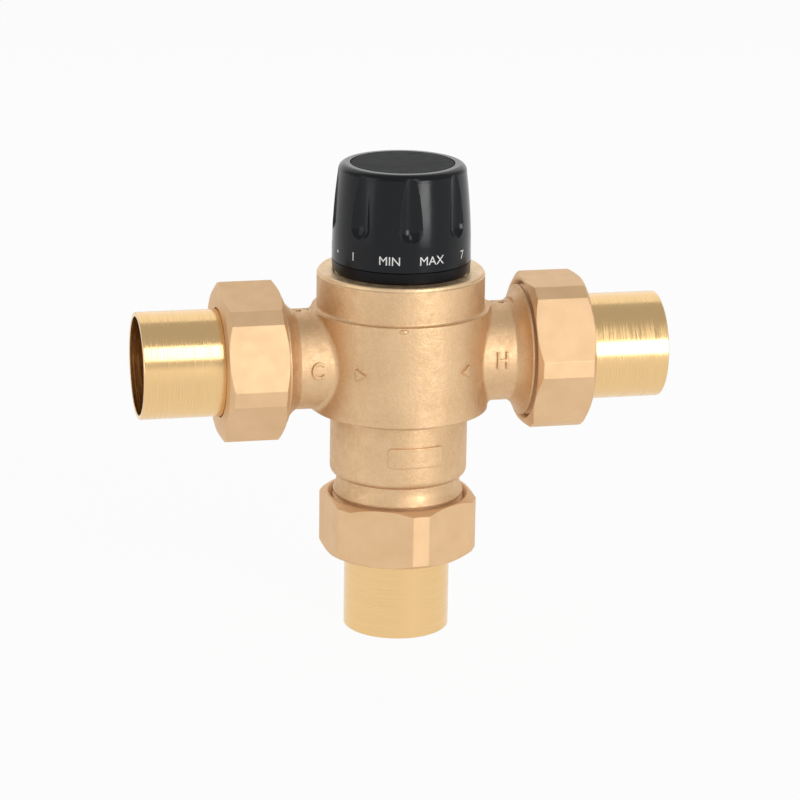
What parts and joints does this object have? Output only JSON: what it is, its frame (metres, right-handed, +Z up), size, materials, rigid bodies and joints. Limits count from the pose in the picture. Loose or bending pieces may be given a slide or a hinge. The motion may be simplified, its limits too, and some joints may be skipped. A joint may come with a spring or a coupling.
{
  "type": "mixing valve",
  "caption": "Temperature-controlled water mixing valve: brass body with side inlets, a bottom outlet, loose union nuts, solder tails and a black fluted adjusting knob",
  "frame": {"origin": "centre of the mixed outlet tail's open end", "axes": "+Z up the valve's axis from the outlet to the knob, +X out of the hot inlet, -X out of the cold inlet, -Y towards the front"},
  "size_m": [0.1894, 0.0634, 0.1713],
  "materials": {
    "valve_body": "cast brass, bead blasted matt",
    "headwork": "turned brass",
    "headwork_o_ring": "moulded rubber O-ring",
    "index_ring": "moulded black plastic with white print",
    "thrust_washer": "stainless steel",
    "flow_guide": "moulded engineering plastic",
    "flow_guide_o_ring": "moulded rubber O-ring",
    "return_spring": "stainless steel",
    "cold_union_nut": "hot-pressed brass with milled flats, satin",
    "cold_union_washer": "flat rubber washer",
    "cold_tailpiece": "turned brass",
    "cold_strainer": "perforated stainless steel sheet",
    "cold_check_housing": "moulded acetal",
    "cold_check_o_ring": "moulded rubber",
    "cold_check_guide": "moulded acetal",
    "cold_check_spring": "stainless steel wire",
    "hot_union_nut": "hot-pressed brass with milled flats, satin",
    "hot_union_washer": "flat rubber washer",
    "hot_tailpiece": "turned brass",
    "hot_strainer": "perforated stainless steel sheet",
    "hot_check_housing": "moulded acetal",
    "hot_check_o_ring": "moulded rubber",
    "hot_check_guide": "moulded acetal",
    "hot_check_spring": "stainless steel wire",
    "mixed_union_nut": "hot-pressed brass with milled flats, satin",
    "mixed_union_washer": "flat rubber washer",
    "mixed_tailpiece": "turned brass",
    "knob": "moulded black plastic, satin",
    "knob_cap": "moulded black plastic, satin",
    "knob_screw": "stainless steel",
    "spindle": "turned brass",
    "upper_spindle_o_ring": "moulded rubber O-ring",
    "lower_spindle_o_ring": "moulded rubber O-ring",
    "spindle_circlip": "stainless steel",
    "adjusting_nut": "turned brass",
    "overload_spring": "stainless steel",
    "cup_ring": "stainless steel",
    "push_cup": "moulded engineering plastic, dark",
    "wax_piston": "stainless steel",
    "shutter": "moulded engineering plastic",
    "shutter_o_ring": "moulded rubber O-ring",
    "wax_element": "drawn copper alloy cup",
    "cold_check_poppet": "moulded acetal",
    "cold_check_seal": "moulded rubber",
    "hot_check_poppet": "moulded acetal",
    "hot_check_seal": "moulded rubber"
  },
  "bodies": {
    "root": {"valve_body": "valve_body", "headwork": "headwork", "headwork_o_ring": "headwork_o_ring", "index_ring": "index_ring", "thrust_washer": "thrust_washer", "flow_guide": "flow_guide", "flow_guide_o_ring": "flow_guide_o_ring", "return_spring": "return_spring", "cold_union_nut": "cold_union_nut", "cold_union_washer": "cold_union_washer", "cold_tailpiece": "cold_tailpiece", "cold_strainer": "cold_strainer", "cold_check_housing": "cold_check_housing", "cold_check_o_ring": "cold_check_o_ring", "cold_check_guide": "cold_check_guide", "cold_check_spring": "cold_check_spring", "hot_union_nut": "hot_union_nut", "hot_union_washer": "hot_union_washer", "hot_tailpiece": "hot_tailpiece", "hot_strainer": "hot_strainer", "hot_check_housing": "hot_check_housing", "hot_check_o_ring": "hot_check_o_ring", "hot_check_guide": "hot_check_guide", "hot_check_spring": "hot_check_spring", "mixed_union_nut": "mixed_union_nut", "mixed_union_washer": "mixed_union_washer", "mixed_tailpiece": "mixed_tailpiece"},
    "knob": {"knob": "knob", "knob_cap": "knob_cap", "knob_screw": "knob_screw", "spindle": "spindle", "upper_spindle_o_ring": "upper_spindle_o_ring", "lower_spindle_o_ring": "lower_spindle_o_ring", "spindle_circlip": "spindle_circlip"},
    "adjusting_nut": {"adjusting_nut": "adjusting_nut", "overload_spring": "overload_spring", "cup_ring": "cup_ring"},
    "push_cup": {"push_cup": "push_cup", "wax_piston": "wax_piston"},
    "shutter": {"shutter": "shutter", "shutter_o_ring": "shutter_o_ring", "wax_element": "wax_element"},
    "cold_check": {"cold_check_poppet": "cold_check_poppet", "cold_check_seal": "cold_check_seal"},
    "hot_check": {"hot_check_poppet": "hot_check_poppet", "hot_check_seal": "hot_check_seal"}
  },
  "joints": [
    {"name": "knob_turn", "type": "hinge", "parent": "root", "child": "knob", "pos_m": [0, 0, 0.1012], "axis": [0, 0, 1], "range_deg": [0, 342]},
    {"name": "adjusting_nut_slide", "type": "slide", "parent": "root", "child": "adjusting_nut", "axis": [0, 0, 1], "range_m": [0, 0.00143]},
    {"name": "overload_slide", "type": "slide", "parent": "adjusting_nut", "child": "push_cup", "axis": [0, 0, 1], "range_m": [0, 0.002], "stiffness_N_per_m": 4000, "springref_m": -0.003, "deforming": ["overload_spring"]},
    {"name": "element_stroke", "type": "slide", "parent": "adjusting_nut", "child": "shutter", "axis": [0, 0, -1], "range_m": [0, 0.0022], "stiffness_N_per_m": 1500, "springref_m": -0.004, "deforming": ["return_spring"]},
    {"name": "cold_check_lift", "type": "slide", "parent": "root", "child": "cold_check", "axis": [1, 0, 0], "range_m": [0, 0.0025], "stiffness_N_per_m": 250, "springref_m": -0.004, "deforming": ["cold_check_spring"]},
    {"name": "hot_check_lift", "type": "slide", "parent": "root", "child": "hot_check", "axis": [-1, 0, 0], "range_m": [0, 0.0025], "stiffness_N_per_m": 250, "springref_m": -0.004, "deforming": ["hot_check_spring"]}
  ],
  "couplings": [
    {"joint": "knob_turn", "follows": "adjusting_nut_slide", "rad_per_m": 4188}
  ]
}
